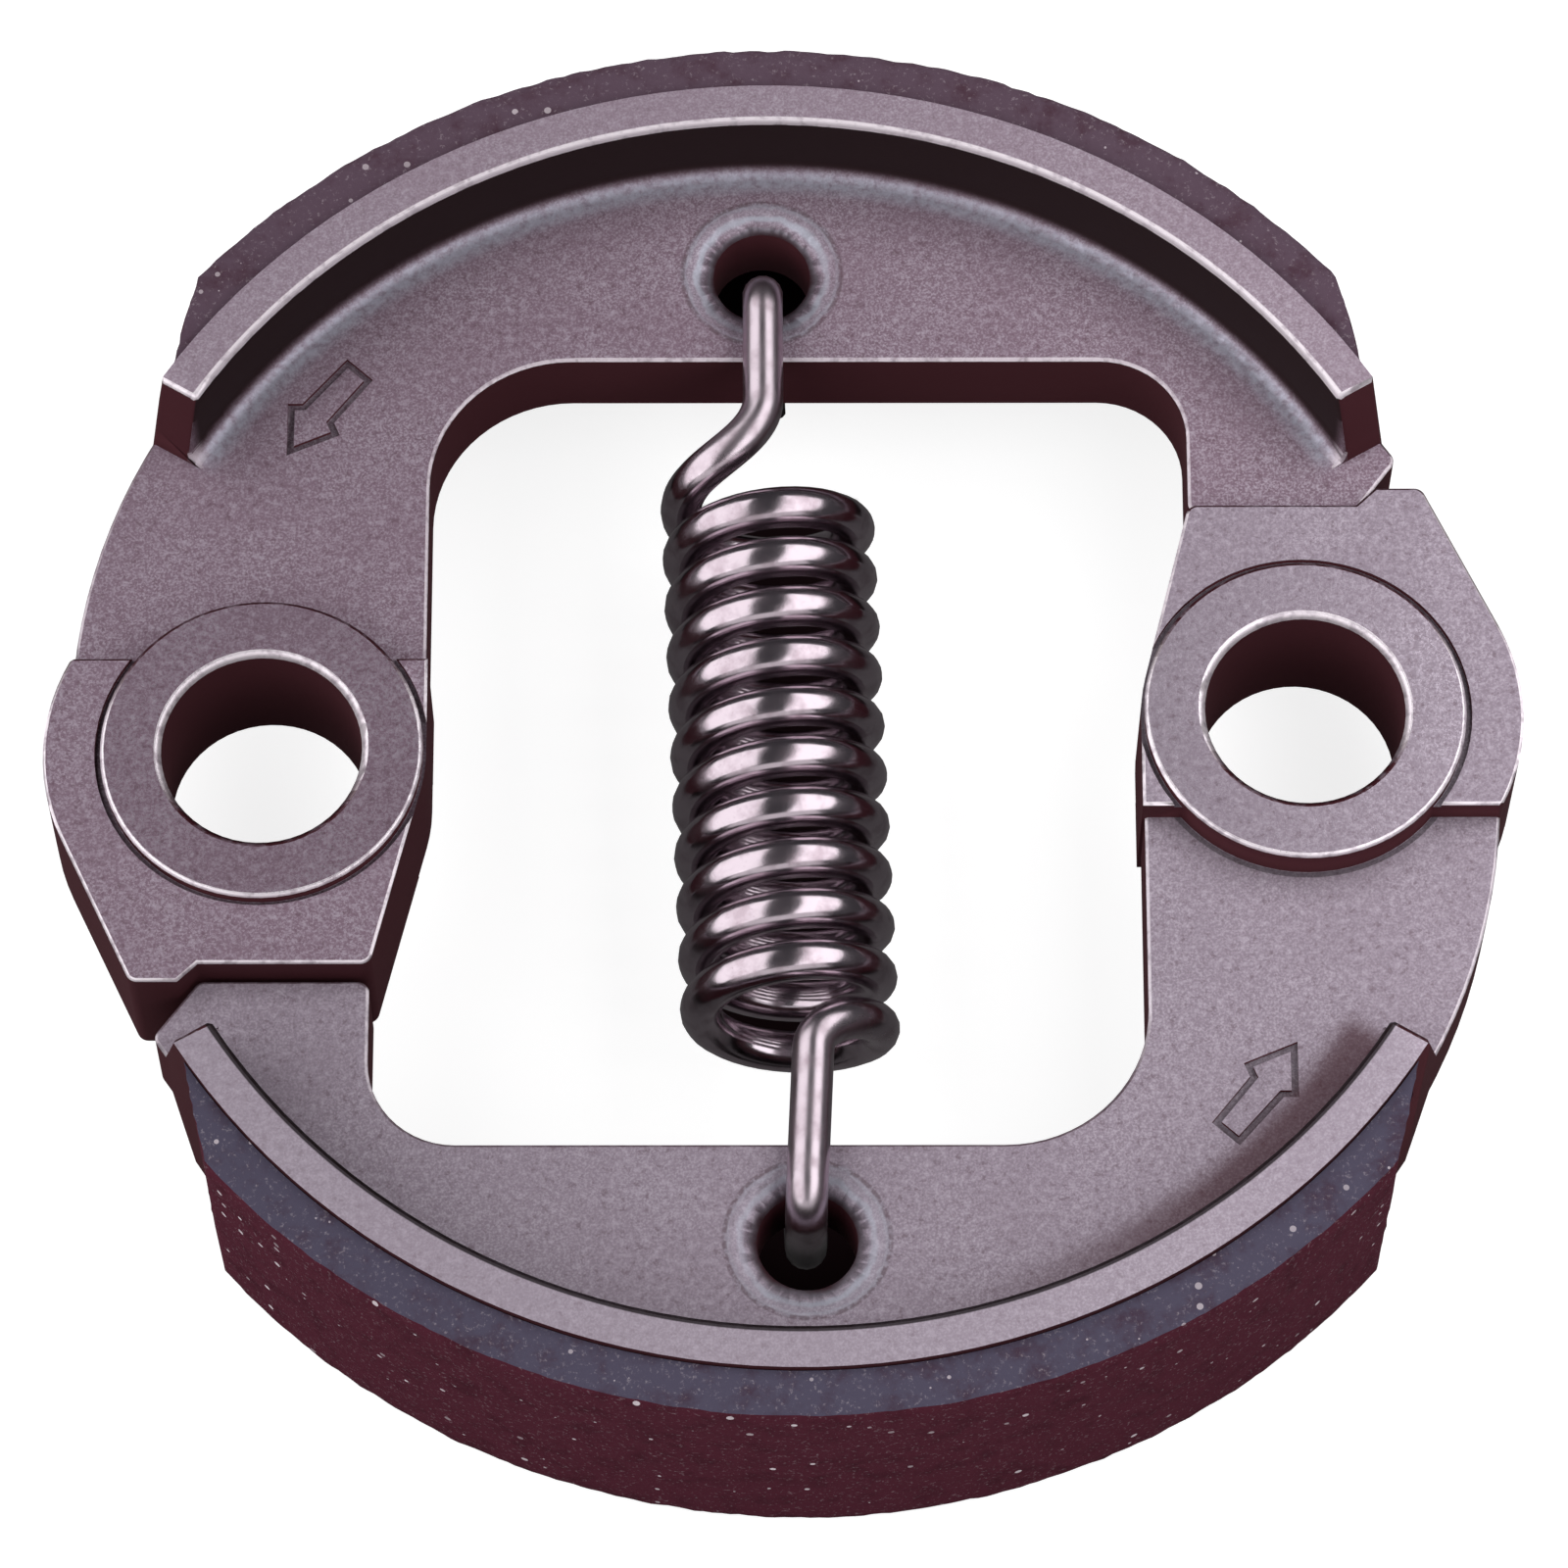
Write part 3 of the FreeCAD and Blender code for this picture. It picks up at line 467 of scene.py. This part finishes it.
def sintered_steel(sizes, finish, name, side):
    """Pressed steel: grainy faces, painted shade on walls and in grooves, bright bevelled edges for wear and
    painted highlight, a painted highlight at the first rim's foot, painted shadow beside the second rim and a
    burnished circle at the hook.
    """
    shader = Shader(name)
    is_first = side < 0
    upward = shader.facing_up("True Normal")
    place = shader.split(shader.place)
    above_web = shader.minus(place["Z"], sizes.web_top)
    fine, coarse = shader.noise(GRAIN, 2.0, 0.7), shader.noise(BLOTCH, 2.0, 0.6)
    noises = (fine, coarse, shader.noise(PATCH))
    face, grain = steel_face(shader, finish, finish.steel if is_first else finish.steel_second, noises)
    hole = shoe_frame(sizes, side) @ Vector((sizes.hole_along, sizes.hole_across, 0.0))
    radius, _ = distance_from(shader, hole)
    face = hook_marks(shader, sizes, finish, face, radius, noises)
    groove_shade = groove_mask(shader, sizes, side, above_web, radius)
    # Painted shade in the arrow's groove and the groove round the ring
    face = shader.mix(shader.times(groove_shade, 0.55), face, finish.shade)
    rim = shader.between(place["Z"], sizes.rim_height - 0.3 * MM, sizes.rim_height - 0.2 * MM)
    face = shader.mix(shader.times(rim, 0.22), face, finish.steel_light)

    highlight_band, rim_wall_shade, rim_highlight_shade_line, rim_shadow, foot = along_rim(shader, sizes, side)
    off_foot = shader.minus(1.0, shader.times(foot, shader.below(above_web, 3.0 * MM)))
    # First shoe: painted highlight on the round at the rim's foot
    if is_first:
        foot_highlight = shader.times(highlight_band, shader.between(coarse, 0.3, 0.6, 0.3, 0.6))
        face = shader.mix(foot_highlight, face, finish.foot)
    else:
        # Second shoe: painted shadow on the web beside the rim, stronger toward the eye
        toward_eye = shader.between(place["X"], 4 * MM, 22 * MM, 0.0, 0.75)
        toward_eye = shader.times(toward_eye, shader.below(above_web, 1.0 * MM))
        face = shader.mix(shader.times(rim_shadow, toward_eye), face, finish.dark_steel_and_shade)
    # Painted shade on upright walls, deeper on the rim's inner wall
    wall = shader.times(shader.between(upward, 0.30, 0.55, 1.0, 0.0), off_foot)
    wall = shader.larger(wall, shader.times(rim_wall_shade, shader.minus(1.0, rim)))
    wall_shade_colour = shader.mix(shader.times(rim_wall_shade, 0.85), finish.dark_steel_and_shade, finish.shade)
    body = shader.mix(wall, face, wall_shade_colour)

    # Bright colour on the bevels stands for worn metal and painted highlight
    slanted = shader.times(shader.between(upward, 0.32, 0.50), shader.between(upward, 0.93, 0.99, 1.0, 0.0))
    off_circle = shader.between(radius, sizes.hook_circle, sizes.hook_circle + 0.1 * MM)
    open_edge = shader.times(off_circle, off_foot)
    patchy = shader.between(shader.noise(EDGE_PATCH, 2.0, 0.7), 0.32, 0.55, 0.45, 1.0)
    wear_and_highlight = shader.times(slanted, shader.times(open_edge, patchy))
    wear_and_highlight = shader.times(wear_and_highlight, shader.between(above_web, 0.1 * MM, 1.2 * MM, 0.6, 1.0))
    # Painted shade: bevels turned toward +Y take the dark colour instead of the bright one
    facing_away_shade = shader.between(shader.normal("True Normal")["Y"], 0.1, 0.45)
    colour_value = shader.mix(wear_and_highlight, body, shader.mix(facing_away_shade, finish.edge, finish.dark_steel_and_shade))
    # Line along the rim's inner upper edge: painted highlight on the first shoe, painted shade on the second
    rim_highlight_shade_line = shader.times(shader.times(rim_highlight_shade_line, rim), patchy if is_first else 0.9)
    colour_value = shader.mix(rim_highlight_shade_line, colour_value, finish.edge if is_first else finish.shade)

    on_ring = shader.between(shader.apart(above_web, sizes.ring_rise), 0.05 * MM, 0.12 * MM, 0.18, 0.0)
    rough = shader.minus(shader.between(grain, 0.0, 0.6, 0.54, 0.42), on_ring)
    rough = shader.larger(rough, shader.times(wall, 0.85))
    metallic = shader.larger(shader.between(wall, 0.0, 1.0, 0.5, 0.0), shader.times(wear_and_highlight, 0.5))
    pits = shader.math("ADD", shader.times(fine, 0.75), coarse)
    relief = shader.bump(pits, 0.02 * MM, 0.4)
    return shader.finish(colour_value, rough, metallic, relief, 0.25)


def moulded_lining(finish, name, top_colour):
    """Moulded friction material: dark slate faces, sides in maroon as painted shade, fibres and pits."""
    shader = Shader(name)
    upward = shader.facing_up()
    mottle = shader.noise(MOTTLE, 5.0, 0.65)
    fine = shader.noise(LINING_GRAIN, 4.0, 0.7)
    # Level faces take the top colour, upright faces the side colour as painted shade
    level = shader.math("ADD", upward, shader.times(shader.minus(mottle, 0.5), 0.5))
    face = shader.mix(shader.between(level, 0.35, 0.65), finish.lining_side_shade, top_colour)
    dark = [part * 0.45 for part in finish.lining_side_shade]
    face = shader.mix(shader.between(mottle, 0.45, 0.75, 0.0, 0.55), face, dark)
    face = shader.mix(shader.between(fine, 0.55, 0.75, 0.0, 0.22), face, finish.speck)
    distance, tint = shader.cells(FIBRE_SPACING)
    chosen = shader.node("ShaderNodeSeparateColor")
    shader.feed(chosen.inputs[0], tint)
    chance, thickness, brightness = chosen.outputs[:3]
    near = shader.below(distance, shader.between(thickness, 0.3, 1.0, 0.06, 0.20))
    fibres = shader.times(shader.above(chance, 0.56), near)
    fibres = shader.times(fibres, shader.between(brightness, 0.0, 1.0, 0.35, 1.0))
    face = shader.mix(fibres, face, finish.speck)
    relief = shader.bump(fine, 0.03 * MM, 0.8)
    relief = shader.bump(mottle, 0.06 * MM, 0.5, relief)
    return shader.finish(face, shader.between(fine, 0.3, 0.7, 0.75, 0.95), 0.0, relief, 0.05)


def drawn_wire(sizes, finish):
    """Drawn spring wire: smooth on the coil, duller on the hooks, dark in the hollows, with painted shade on
    the tails under the web.
    """
    shader = Shader("drawn_wire")
    place = shader.split(shader.place)
    along = shader.math("ABSOLUTE", place["Y"])
    coil_end = sizes.pitch * sizes.turns / 2
    on_hook = shader.between(along, coil_end, coil_end + sizes.wire)
    sunk_shade = shader.between(place["Z"], sizes.tail_height + sizes.wire, sizes.web_top - sizes.bend, 1.0, 0.0)
    at_hole = shader.between(along, sizes.hook_reach - 6 * MM, sizes.hook_reach - 4 * MM)
    cloud = shader.noise(CLOUD)
    marks = shader.noise(DRAWING_MARK, 3.0, 0.6)
    skin = shader.mix(shader.between(cloud, 0.42, 0.75, 0.0, 0.35), finish.wire, finish.wire_dark)
    skin = shader.mix(shader.between(marks, 0.64, 0.75, 0.0, 0.35), skin, finish.wire_dark)
    # Painted shade on the hooks' tails where they sink under the web at the holes
    skin = shader.mix(shader.times(shader.times(at_hole, sunk_shade), 0.85), skin, finish.shade)
    rough = shader.between(cloud, 0.3, 0.7, 0.15, 0.24)
    rough = shader.math("ADD", rough, shader.times(on_hook, 0.13))
    return shader.finish(skin, rough, 1.0, shader.bump(marks, 0.003 * MM, 0.5))


def copy_node(node, name):
    """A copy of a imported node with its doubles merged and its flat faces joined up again."""
    clear_selection()
    piece = frame["nodes"][node].copy()
    piece.data = piece.data.copy()
    piece.name = name
    piece.data.name = name
    piece.parent = None
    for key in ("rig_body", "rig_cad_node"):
        del piece[key]
    bpy.context.scene.collection.objects.link(piece)
    piece.data.materials.clear()
    make_active(piece)
    bpy.ops.object.mode_set(mode="EDIT")
    bpy.ops.mesh.select_all(action="SELECT")
    bpy.ops.mesh.remove_doubles(threshold=0.0005 * MM)
    bpy.ops.mesh.dissolve_limited(angle_limit=math.radians(0.4))
    bpy.ops.object.mode_set(mode="OBJECT")
    return piece


def arrow_cutter(sizes, side):
    """The closed line of the arrow as a solid that reaches down into the web."""
    clear_selection()
    bpy.ops.mesh.primitive_circle_add(vertices=len(ARROW_CORNERS), radius=MM, fill_type="NGON")
    cutter = bpy.context.object
    cutter.name = "arrow_cutter"
    floor = sizes.web_top - sizes.groove_depth
    for vertex, (u, v) in zip(cutter.data.vertices, ARROW_CORNERS):
        vertex.co = (u * MM, v * MM, floor)
    bpy.ops.object.mode_set(mode="EDIT")
    bpy.ops.mesh.select_all(action="SELECT")
    bpy.ops.mesh.inset(thickness=sizes.groove_width)
    bpy.ops.mesh.delete(type="ONLY_FACE")
    bpy.ops.mesh.select_all(action="SELECT")
    bpy.ops.mesh.extrude_region_move(TRANSFORM_OT_translate={"value": (0, 0, 4 * sizes.groove_depth)})
    bpy.ops.mesh.select_all(action="SELECT")
    bpy.ops.mesh.normals_make_consistent(inside=False)
    bpy.ops.object.mode_set(mode="OBJECT")
    cutter.data.transform(shoe_frame(sizes, side))
    return cutter


def engrave(piece, cutter):
    """Cut a shape out of a piece and remove the cutter."""
    make_active(piece)
    cut = piece.modifiers.new("arrow", "BOOLEAN")
    cut.operation = "DIFFERENCE"
    cut.solver = "EXACT"
    cut.object = cutter
    bpy.ops.object.modifier_apply(modifier=cut.name)
    bpy.data.objects.remove(cutter)


def break_edges(piece, sizes, side):
    """Bevel the sharp upper edges of a shoe, wider on the rim, but not the ring's or those outside the rim."""
    make_active(piece)
    bpy.ops.object.mode_set(mode="EDIT")
    mesh = bmesh.from_edit_mesh(piece.data)
    weight = mesh.edges.layers.float.new("bevel_weight_edge")
    place = shoe_frame(sizes, side)
    pivot = place.translation.xy
    centre = (place @ Vector((sizes.arc_along, sizes.arc_across, 0.0))).xy
    ring_band, rim_outer = 0.8 * MM, sizes.rim_inner + 1.6 * MM
    for line in mesh.edges:
        if line.is_convex and line.calc_face_angle(0.0) > SHARP:
            lowest = min(point.co.z for point in line.verts)
            off_ring = (abs((point.co.xy - pivot).length - sizes.ring_radius) for point in line.verts)
            by_ring = all(distance < ring_band for distance in off_ring)
            outside = all((point.co.xy - centre).length > rim_outer for point in line.verts)
            on_rim = lowest > sizes.rim_height - NEARLY
            if lowest > sizes.web_top - NEARLY and not by_ring and not (on_rim and outside):
                line[weight] = 1.0 if on_rim else sizes.edge_width / sizes.rim_edge_width
    bmesh.update_edit_mesh(piece.data)
    bpy.ops.object.mode_set(mode="OBJECT")
    bevel = piece.modifiers.new("worn_edges", "BEVEL")
    bevel.width = sizes.rim_edge_width
    bevel.segments = 1
    bevel.limit_method = "WEIGHT"
    bevel.use_clamp_overlap = False
    apply_modifiers(piece)
    for point in piece.data.vertices:
        point.co.z = min(point.co.z, sizes.rim_height)


def shade(piece, degrees):
    """Smooth shading except over sharp edges, with large faces kept flat."""
    make_active(piece)
    bpy.ops.object.shade_smooth_by_angle(angle=math.radians(degrees))
    weighted = piece.modifiers.new("weighted", "WEIGHTED_NORMAL")
    weighted.keep_sharp = True
    apply_modifiers(piece)


class CLUTCH_OT_shoes(bpy.types.Operator):
    """Dress both shoes: engraved arrow, broken edges and sintered steel"""

    bl_idname = "clutch.shoes"
    bl_label = "Dress shoes"

    def execute(self, context):
        sizes, finish = context.scene.clutch_sizes, context.scene.clutch_finish
        for node, body, side in SHOES:
            piece = copy_node(node, f"{node}_dressed")
            break_edges(piece, sizes, side)
            engrave(piece, arrow_cutter(sizes, side))
            shade(piece, SHOE_SMOOTH)
            piece.data.materials.append(sintered_steel(sizes, finish, f"sintered_steel_{node[-1]}", side))
            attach(piece, body)
            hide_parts(node)
        return {"FINISHED"}


def lining_block(sizes, name):
    """The lining's section spun along its arc and cut to its slanted ends, about the arc's centre."""
    clear_selection()
    bpy.ops.mesh.primitive_grid_add(
        x_subdivisions=SECTION_ACROSS, y_subdivisions=SECTION_UP, size=1.0, rotation=(math.pi / 2, 0, 0)
    )
    piece = bpy.context.object
    piece.name = name
    settle(piece)
    inner, outer, tall = sizes.lining_inner, sizes.lining_outer, sizes.lining_height
    piece.data.transform(Matrix.Diagonal((outer - inner, 1.0, tall, 1.0)))
    piece.data.transform(Matrix.Translation(((inner + outer) / 2, 0.0, sizes.lining_foot + tall / 2)))
    for point in piece.data.vertices:
        for level, way in ((sizes.lining_foot, 1), (sizes.lining_foot + tall, -1)):
            if point.co.x > outer - SAME and abs(point.co.z - level) < SAME:
                point.co += Vector((-1, 0, way)) * sizes.lining_chamfer / 2
    spare = math.radians(2)
    over = sizes.lining_inner_reach + spare
    piece.data.transform(Matrix.Rotation(math.pi / 2 - over, 4, "Z"))
    make_active(piece)
    bpy.ops.object.mode_set(mode="EDIT")
    bpy.ops.mesh.select_all(action="SELECT")
    bpy.ops.mesh.spin(steps=ARC_STEPS, angle=-2 * over, center=(0, 0, 0), axis=(0, 0, 1))
    for side in (-1, 1):
        near_turn = math.pi / 2 + side * sizes.lining_inner_reach
        far_turn = math.pi / 2 + side * sizes.lining_outer_reach
        near = Vector((math.cos(near_turn), math.sin(near_turn), 0)) * inner
        far = Vector((math.cos(far_turn), math.sin(far_turn), 0)) * outer
        across = Vector((0, 0, 1)).cross(far - near).normalized() * side
        bpy.ops.mesh.select_all(action="SELECT")
        bpy.ops.mesh.bisect(plane_co=near, plane_no=across, use_fill=True, clear_outer=True)
    bpy.ops.mesh.select_all(action="SELECT")
    bpy.ops.mesh.normals_make_consistent(inside=False)
    bpy.ops.object.mode_set(mode="OBJECT")
    return piece


def crumble(piece, sizes, place):
    """Put a lining in its place, sink pits all over its skin and chips along its outer edges."""
    edges = piece.vertex_groups.new(name="outer_edges")
    skin = piece.vertex_groups.new(name="skin")
    top = sizes.lining_foot + sizes.lining_height
    for point in piece.data.vertices:
        inward = sizes.lining_outer - point.co.xy.length
        for down in (top - point.co.z, point.co.z - sizes.lining_foot):
            share = 1.0 - math.hypot(inward, down) / CHIP_REACH
            if share > 0:
                edges.add([point.index], share, "REPLACE")
        if point.co.xy.length > sizes.lining_inner + 0.1 * MM:
            skin.add([point.index], 1.0, "REPLACE")
    piece.data.transform(place)
    for group, size, depth in (
        (skin.name, PIT_SIZE, sizes.lining_pits),
        (edges.name, CHIP_SIZE, sizes.lining_chip),
    ):
        pattern = bpy.data.textures.new(group, "CLOUDS")
        pattern.noise_scale = size
        pattern.noise_depth = 3
        pattern.contrast = 2.0
        pattern.intensity = 1.1
        pattern.use_clamp = True
        sink = piece.modifiers.new(group, "DISPLACE")
        sink.texture = pattern
        sink.texture_coords = "LOCAL"
        sink.vertex_group = group
        sink.strength = depth
        sink.mid_level = 1.0
    apply_modifiers(piece)
    piece.vertex_groups.clear()


class CLUTCH_OT_linings(bpy.types.Operator):
    """Mould both linings: arc, crumbled edges and friction material"""

    bl_idname = "clutch.linings"
    bl_label = "Mould linings"

    def execute(self, context):
        sizes, finish = context.scene.clutch_sizes, context.scene.clutch_finish
        for node, body, side in LININGS:
            piece = lining_block(sizes, f"{node}_moulded")
            centre = Matrix.Translation((sizes.arc_along, sizes.arc_across, 0))
            crumble(piece, sizes, shoe_frame(sizes, side) @ centre)
            shade(piece, LINING_SMOOTH)
            top_colour = finish.lining if side < 0 else finish.lining_second
            piece.data.materials.append(moulded_lining(finish, f"moulded_{node}", top_colour))
            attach(piece, body)
            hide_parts(node)
        return {"FINISHED"}


def hook_path(sizes, curl, start, lead):
    """Points of a hook from the coil's end toward +Y: curl, run over the web, leg down the hole, tail."""
    rise, pull, run, side = (value * MM for value in curl)
    curl_end = Vector((-side, start.y + run, sizes.run_height))
    upper = Vector((sizes.hook_side, sizes.hook_reach, sizes.run_height))
    lower = Vector((sizes.hook_side, sizes.hook_reach, sizes.tail_height))
    down, inward = Vector((0, 0, -1)), Vector((0, -1, 0))
    along = (upper - curl_end).normalized()
    poles = (start, start + lead * rise, curl_end - along * pull, curl_end)
    points = []
    for step in range(1, CURL_STEPS + 1):
        t = step / CURL_STEPS
        weights = ((1 - t) ** 3, 3 * t * (1 - t) ** 2, 3 * t * t * (1 - t), t ** 3)
        points.append(sum((pole * weight for pole, weight in zip(poles, weights)), Vector()))
    for corner, before, after in ((upper, along, down), (lower, down, inward)):
        first = corner - before * sizes.bend
        points.append(points[-1].lerp(first, 0.5))
        centre = first + after * sizes.bend
        for step in range(BEND_STEPS + 1):
            turn = math.pi / 2 * step / BEND_STEPS
            arm = before * sizes.bend * math.sin(turn)
            points.append(centre - after * sizes.bend * math.cos(turn) + arm)
    points.append(points[-1] + inward * sizes.tail_run)
    return points


def wire_path(sizes):
    """Points along the middle of the wire, from the tail at -Y to the tail at +Y."""
    radius, beside = (sizes.coil - sizes.wire) / 2, sizes.coil_side
    span = sizes.pitch * sizes.turns
    steps = round(sizes.turns * TURN_STEPS)
    coil = []
    for step in range(steps + 1):
        share = step / steps
        turn = 2 * math.pi * sizes.turns * share
        across, up = radius * math.cos(turn) - beside, sizes.coil_height - radius * math.sin(turn)
        coil.append(Vector((across, span * (share - 0.5), up)))
    lead = Vector((0.0, sizes.pitch, 2 * math.pi * radius)).normalized()
    first = hook_path(sizes, CURLS[0], Vector((-radius - beside, span / 2, sizes.coil_height)), lead)
    second = hook_path(sizes, CURLS[1], Vector((-radius + beside, span / 2, sizes.coil_height)), lead)
    return [Vector((-point.x, -point.y, point.z)) for point in reversed(second)] + coil + first


class CLUTCH_OT_spring(bpy.types.Operator):
    """Wind the return spring from one wire, with a hook at each end"""

    bl_idname = "clutch.spring"
    bl_label = "Wind return spring"

    def execute(self, context):
        sizes, finish = context.scene.clutch_sizes, context.scene.clutch_finish
        clear_selection()
        points = wire_path(sizes)
        bpy.ops.curve.primitive_nurbs_path_add(radius=MM)
        piece = bpy.context.object
        piece.name = "return_spring_wound"
        curve = piece.data
        curve.splines.clear()
        spline = curve.splines.new("POLY")
        spline.points.add(len(points) - 1)
        for knot, point in zip(spline.points, points):
            knot.co = (*point, 1.0)
        curve.dimensions = "3D"
        curve.twist_mode = "MINIMUM"
        curve.bevel_depth = sizes.wire / 2
        curve.bevel_resolution = 6
        curve.use_fill_caps = True
        make_active(piece)
        bpy.ops.object.convert(target="MESH")
        piece = bpy.context.object
        bpy.ops.object.mode_set(mode="EDIT")
        bpy.ops.mesh.select_all(action="SELECT")
        bpy.ops.mesh.remove_doubles(threshold=0.001 * MM)
        bpy.ops.mesh.normals_make_consistent(inside=False)
        bpy.ops.object.mode_set(mode="OBJECT")
        settle(piece)
        shade(piece, WIRE_SMOOTH)
        piece.data.materials.clear()
        piece.data.materials.append(drawn_wire(sizes, finish))
        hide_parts("return_spring")
        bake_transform(piece)
        return {"FINISHED"}


def soft_box(name, place, aim, size, power):
    """A large soft lamp that looks at a point."""
    clear_selection()
    bpy.ops.object.light_add(type="AREA", location=place)
    lamp = bpy.context.object
    lamp.name = name
    lamp.rotation_euler = (Vector(aim) - Vector(place)).to_track_quat("-Z", "Y").to_euler()
    lamp.data.shape = "RECTANGLE"
    lamp.data.size, lamp.data.size_y = size
    lamp.data.energy = power


class CLUTCH_OT_stage(bpy.types.Operator):
    """Lay the pale floor and set the lamps, the world and the camera"""

    bl_idname = "clutch.stage"
    bl_label = "Set stage"

    def execute(self, context):
        finish = context.scene.clutch_finish
        clear_selection()
        bpy.ops.mesh.primitive_plane_add(size=3.0, location=(0, 0, 0))
        floor = bpy.context.object
        floor.name = "floor"
        floor.data.materials.append(pale_floor(finish))
        world = context.scene.world or bpy.data.worlds.new("studio")
        context.scene.world = world
        world.use_nodes = True
        background = world.node_tree.nodes["Background"]
        background.inputs["Color"].default_value = WORLD_COLOUR
        background.inputs["Strength"].default_value = WORLD_STRENGTH
        for box in SOFT_BOXES:
            soft_box(*box)
        context.scene.view_settings.view_transform = "Standard"
        self.add_camera(context)
        return {"FINISHED"}

    def add_camera(self, context):
        """Place the camera at the viewing angle of the photograph."""
        azimuth, elevation = math.radians(-2.357), math.radians(66.726)
        distance, rise, base = 409.5 * MM, 2.48 * MM, 0.4 * MM
        back = Vector((
            math.sin(azimuth) * math.cos(elevation),
            -math.cos(azimuth) * math.cos(elevation),
            math.sin(elevation),
        ))
        right = Vector((math.cos(azimuth), math.sin(azimuth), 0.0))
        upward = back.cross(right)
        place = back * distance + upward * rise + Vector((0, 0, base))
        bpy.ops.object.camera_add(location=place)
        camera = context.object
        camera.name = "camera"
        camera.rotation_euler = Matrix((right, upward, back)).transposed().to_euler()
        camera.data.sensor_width = 36.0
        camera.data.lens = 181.6
        camera.data.clip_start, camera.data.clip_end = 0.01, 20.0
        context.scene.camera = camera


def pale_floor(finish):
    """Matt white floor, with deep shade under the spring and its holes."""
    shader = Shader("pale_floor")
    place = shader.split(shader.place)
    lit = 1.0
    for x, y, half_width, half_depth in FLOOR_SHADES:
        beside = shader.minus(shader.apart(place["X"], x * MM), half_width * MM)
        behind = shader.minus(shader.apart(place["Y"], y * MM), half_depth * MM)
        lit = shader.times(shader.between(shader.larger(beside, behind), -0.2 * MM, 0.3 * MM), lit)
    path = shader.node("ShaderNodeLightPath").outputs
    seen = shader.larger(path["Is Camera Ray"], path["Is Transmission Ray"])
    glow = shader.larger(shader.times(seen, FLOOR_GLOW), shader.times(path["Is Glossy Ray"], MIRRORED_GLOW))
    shader.feed(shader.surface.inputs["Emission Color"], (1.0, 1.0, 1.0, 1.0))
    shader.feed(shader.surface.inputs["Emission Strength"], shader.times(glow, lit))
    matt = shader.mix(shader.times(path["Is Glossy Ray"], MIRRORED_SHADE), finish.floor, finish.shade)
    return shader.finish(shader.mix(lit, finish.shade, matt), 0.9, 0.0, specular=0.0)


class CLUTCH_PT_panel(bpy.types.Panel):
    """Sizes, colours and steps of the clutch"""

    bl_idname = "CLUTCH_PT_panel"
    bl_label = "Centrifugal clutch"
    bl_space_type = "VIEW_3D"
    bl_region_type = "UI"
    bl_category = "Clutch"

    def draw(self, context):
        layout = self.layout
        for operator in OPERATORS:
            layout.operator(operator.bl_idname)
        for group in (context.scene.clutch_sizes, context.scene.clutch_finish):
            for name in group.bl_rna.properties.keys():
                if name not in ("rna_type", "name"):
                    layout.prop(group, name)


OPERATORS = (CLUTCH_OT_stage, CLUTCH_OT_shoes, CLUTCH_OT_linings, CLUTCH_OT_spring)
CLASSES = (ClutchSizes, ClutchFinish, *OPERATORS, CLUTCH_PT_panel)


def register():
    """Register the classes and hang the settings on the scene."""
    for item in CLASSES:
        bpy.utils.register_class(item)
    bpy.types.Scene.clutch_sizes = PointerProperty(type=ClutchSizes)
    bpy.types.Scene.clutch_finish = PointerProperty(type=ClutchFinish)


def unregister():
    """Take the settings off the scene and unregister the classes."""
    del bpy.types.Scene.clutch_finish
    del bpy.types.Scene.clutch_sizes
    for item in reversed(CLASSES):
        bpy.utils.unregister_class(item)


def main():
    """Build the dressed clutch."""
    register()
    bpy.ops.clutch.stage()
    bpy.ops.clutch.shoes()
    bpy.ops.clutch.linings()
    bpy.ops.clutch.spring()


if __name__ == "__main__":
    main()
